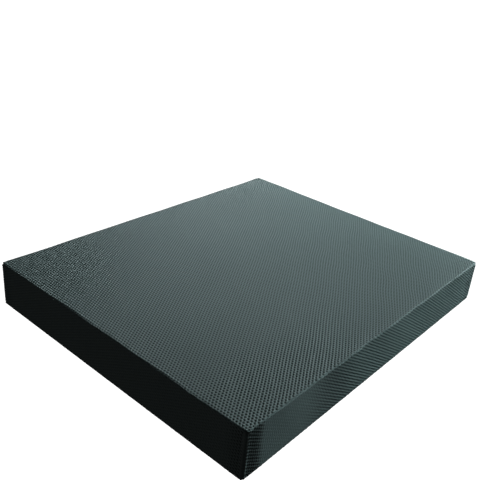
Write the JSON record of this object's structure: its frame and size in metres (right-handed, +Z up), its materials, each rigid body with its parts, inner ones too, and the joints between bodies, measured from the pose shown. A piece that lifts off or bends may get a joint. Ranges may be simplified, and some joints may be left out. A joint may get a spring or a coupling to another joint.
{
  "type": "balance pad",
  "caption": "Rectangular foam balance pad in a sewn, dimpled non-slip cover with square edges and a zip along its rear side.",
  "frame": {"origin": "middle of the base, on the surface that the pad lies on", "axes": "+X along the long side, +Y to the rear side with the zip, +Z up"},
  "size_m": [0.5, 0.4141, 0.06],
  "materials": {
    "cover_sheet": "satin",
    "foam": "matte",
    "thread": "matte",
    "zip_tape": "matte",
    "zip_teeth": "satin",
    "zip_metal": "satin"
  },
  "bodies": {
    "pad": {"base_panel": "cover_sheet", "base_seam_thread": "thread", "core_sheet_lower": "foam", "core_sheet_middle": "foam", "core_sheet_upper": "foam", "corner_seam_threads": "thread", "front_side_panel": "cover_sheet", "left_side_panel": "cover_sheet", "rear_strip_lower": "cover_sheet", "rear_strip_upper": "cover_sheet", "right_side_panel": "cover_sheet", "top_panel": "cover_sheet", "top_seam_thread": "thread", "zip_bottom_stop": "zip_metal", "zip_chain_lower": "zip_teeth", "zip_chain_upper": "zip_teeth", "zip_tape_lower": "zip_tape", "zip_tape_upper": "zip_tape", "zip_top_stops": "zip_metal", "zip_topstitch_lower": "thread", "zip_topstitch_upper": "thread"},
    "slider": {"zip_slider": "zip_metal"},
    "pull": {"zip_pull": "zip_metal"}
  },
  "joints": [
    {"name": "zip_slide", "type": "slide", "parent": "pad", "child": "slider", "axis": [-1, 0, 0], "range_m": [0, 0.444], "deforming": ["zip_chain_upper", "zip_chain_lower"]},
    {"name": "pull_swing", "type": "hinge", "parent": "slider", "child": "pull", "pos_m": [0.222, 0.2075, 0.03], "axis": [0, 0, -1], "range_deg": [0, 180]}
  ]
}
